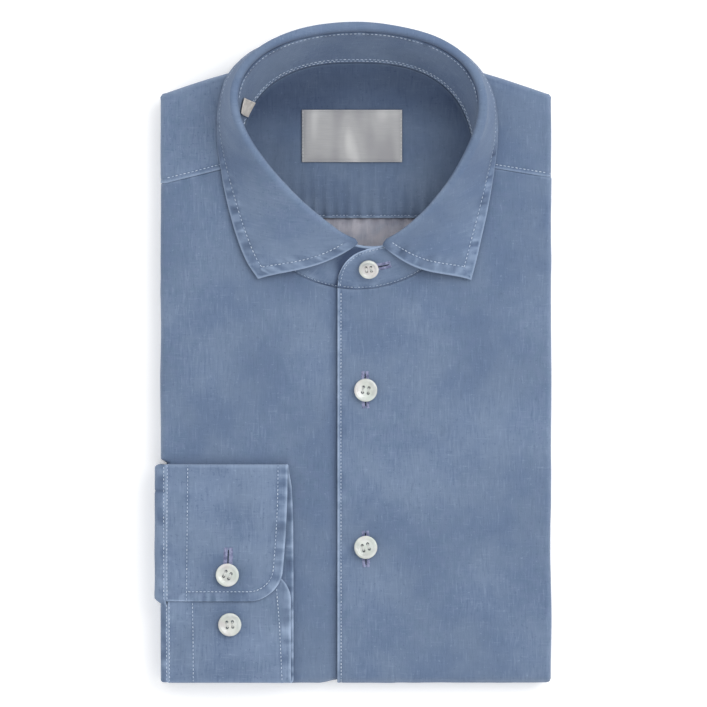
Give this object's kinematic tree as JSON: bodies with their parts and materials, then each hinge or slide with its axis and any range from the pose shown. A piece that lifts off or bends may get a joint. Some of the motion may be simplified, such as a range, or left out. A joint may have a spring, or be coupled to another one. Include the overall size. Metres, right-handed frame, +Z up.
{
  "type": "folded denim shirt",
  "caption": "Long-sleeved denim shirt with a spread collar, buttoned to the neck and folded into a flat pack that lies on its back, one cuff turned onto the front.",
  "frame": {"origin": "on the table, under the middle of the folded pack's bounding box", "axes": "+Y towards the collar, +X to the viewer's right when the collar is at the top, +Z up off the table"},
  "size_m": [0.2185, 0.3625, 0.0508],
  "materials": {
    "denim": "matte",
    "denim_inside": "matte",
    "denim_wrong_side": "matte",
    "label_tape": "satin",
    "tab_tape": "matte",
    "shell_button": "gloss"
  },
  "bodies": {
    "root": {"folded_layers": "denim", "front_right": "denim", "front_left": "denim", "yoke_outer": "denim", "yoke_inner": "denim_inside", "back": "denim_wrong_side", "collar_band": "denim", "collar_leaf": "denim", "sleeve_right": "denim", "cuff_right": "denim", "neck_label": "label_tape", "size_tab": "tab_tape", "button_front_1": "shell_button", "button_front_2": "shell_button", "button_cuff_1": "shell_button", "button_cuff_2": "shell_button", "button_collar": "shell_button"}
  },
  "joints": []
}
